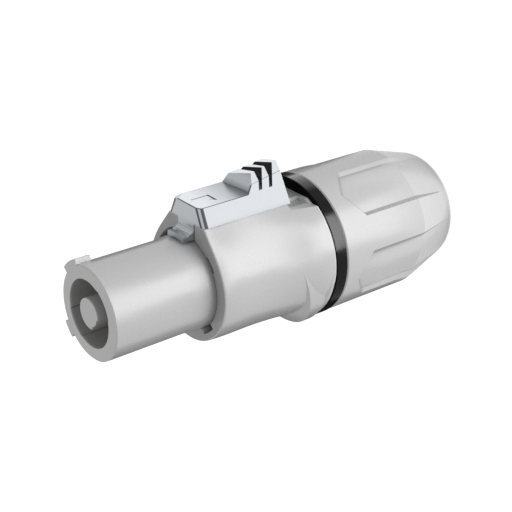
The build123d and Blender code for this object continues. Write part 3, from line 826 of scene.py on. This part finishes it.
class CONNECTOR_OT_studio(bpy.types.Operator):
    """Set up the pale floor, the soft lights and the camera"""

    bl_idname = "connector.studio"
    bl_label = "Studio"

    def execute(self, context):
        sizes = context.scene.connector_studio
        bm = bmesh.new()
        bmesh.ops.create_grid(bm, x_segments=1, y_segments=1, size=sizes.floor_size / 2)
        object_from(bm, "floor", self.floor_paper(sizes.floor_glow))
        self.sky(context.scene, sizes.sky)
        self.floor_lights(sizes)
        self.dark_card(sizes)
        self.camera(context.scene, sizes)
        context.scene.view_settings.view_transform = "Standard"
        return {"FINISHED"}

    def floor_paper(self, glow):
        """Pale paper that looks white to the camera and in reflections."""
        paper = NodeMaterial("floor_paper")
        rays = paper.add("ShaderNodeLightPath").outputs
        seen = paper.most(rays["Is Camera Ray"], rays["Is Glossy Ray"], rays["Is Transmission Ray"])
        paper.set("Base Color", opaque([FLOOR_COLOUR] * 3))
        paper.set("Roughness", FLOOR_ROUGHNESS)
        paper.set("Emission Color", WHITE)
        paper.set("Emission Strength", paper.times(seen, glow))
        return paper.material

    def sky(self, scene, strength):
        """Even light from all around."""
        scene.world = bpy.data.worlds.new("sky")
        scene.world.use_nodes = True
        back = scene.world.node_tree.nodes["Background"]
        back.inputs["Color"].default_value = WHITE
        back.inputs["Strength"].default_value = strength

    def floor_lights(self, sizes):
        """Soft light panels that lie on the floor in a widening row, and two for the black ring alone."""
        lit = bpy.data.collections.new("lit_from_below")
        ring = bpy.data.collections.new("lit_ring")
        for name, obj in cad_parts.items():
            if name not in UNLIT_NODES:
                lit.objects.link(obj)
        ring.objects.link(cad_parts["seal_ring"])
        for panel in PANELS:
            self.floor_light(panel, sizes.panel_turn, sizes.panel_glow, lit)
        self.floor_light(RING_PANEL, sizes.panel_turn, sizes.panel_glow, ring)
        self.floor_light(RING_TOP_PANEL, sizes.ring_top_turn, sizes.panel_glow, ring)

    def floor_light(self, panel, side, glow, receivers):
        """One panel that lies on the floor on one side and lights a group of pieces."""
        name, near_edge, far_edge, width, brightness = panel
        middle = (near_edge + far_edge) / 2
        data = bpy.data.lights.new(name, "AREA")
        data.shape = "RECTANGLE"
        data.size = far_edge - near_edge
        data.size_y = width
        data.energy = brightness * glow * math.pi * data.size * width
        obj = bpy.data.objects.new(name, data)
        obj.location = (middle * math.cos(side), middle * math.sin(side), PANEL_HEIGHT)
        obj.rotation_euler = (math.pi, 0.0, side)
        obj.visible_camera = False
        obj.light_linking.receiver_collection = receivers
        bpy.context.scene.collection.objects.link(obj)

    def dark_card(self, sizes):
        """A dark card on the floor behind the connector that only shows in reflections."""
        card = NodeMaterial("dark_card")
        card.set("Base Color", opaque([CARD_COLOUR] * 3))
        card.set("Roughness", CARD_ROUGHNESS)
        bm = bmesh.new()
        starts = (sizes.card_near_start, sizes.card_start)
        for start, inner, outer in zip(starts, CARD_EDGES, CARD_EDGES[1:]):
            rows = [self.card_arc(bm, radius, start, sizes.card_end) for radius in (inner, outer)]
            for step in range(CARD_STEPS):
                bm.faces.new((rows[0][step], rows[1][step], rows[1][step + 1], rows[0][step + 1]))
        obj = object_from(bm, "dark_card", card.material)
        obj.visible_camera = False
        obj.visible_diffuse = False
        obj.visible_shadow = False
        obj.visible_transmission = False

    def card_arc(self, bm, radius, start, end):
        """A row of points round the axis, at the card's height."""
        turns = [start + step * (end - start) / CARD_STEPS for step in range(CARD_STEPS + 1)]
        return [bm.verts.new((radius * math.cos(at), radius * math.sin(at), CARD_HEIGHT)) for at in turns]

    def camera(self, scene, sizes):
        """A camera at the photograph's viewing angle."""
        data = bpy.data.cameras.new("camera")
        data.lens = sizes.lens
        data.sensor_width = sizes.sensor
        data.clip_start = sizes.camera_clip
        obj = bpy.data.objects.new("camera", data)
        obj.location = sizes.camera_place
        obj.rotation_euler = sizes.camera_turn
        scene.collection.objects.link(obj)
        scene.camera = obj


class CONNECTOR_PT_panel(bpy.types.Panel):
    """Lists the connector's steps"""

    bl_label = "Connector"
    bl_idname = "CONNECTOR_PT_panel"
    bl_space_type = "VIEW_3D"
    bl_region_type = "UI"
    bl_category = "Connector"

    def draw(self, context):
        for step in STEPS:
            self.layout.operator(step.bl_idname)
        for group in GROUPS:
            box = self.layout.box()
            values = getattr(context.scene, group)
            for name in values.bl_rna.properties.keys():
                if name not in ("rna_type", "name"):
                    box.prop(values, name)


STEPS = (
    CONNECTOR_OT_plastic,
    CONNECTOR_OT_rubber,
    CONNECTOR_OT_metal,
    CONNECTOR_OT_neck_thread,
    CONNECTOR_OT_cap_thread,
    CONNECTOR_OT_studio,
)
GROUPS = {
    "connector_finish": ConnectorFinish,
    "connector_thread": ConnectorThread,
    "connector_studio": ConnectorStudio,
}
CLASSES = (*GROUPS.values(), *STEPS, CONNECTOR_PT_panel)


def register():
    """Registers the groups, the operators and the panel."""
    for item in CLASSES:
        bpy.utils.register_class(item)
    for name, group in GROUPS.items():
        setattr(bpy.types.Scene, name, PointerProperty(type=group))


def unregister():
    """Takes them out again."""
    for name in GROUPS:
        delattr(bpy.types.Scene, name)
    for item in reversed(CLASSES):
        bpy.utils.unregister_class(item)


def main():
    """Dresses the connector."""
    register()
    for step in STEPS:
        group, name = step.bl_idname.split(".")
        getattr(getattr(bpy.ops, group), name)()


if __name__ == "__main__":
    main()
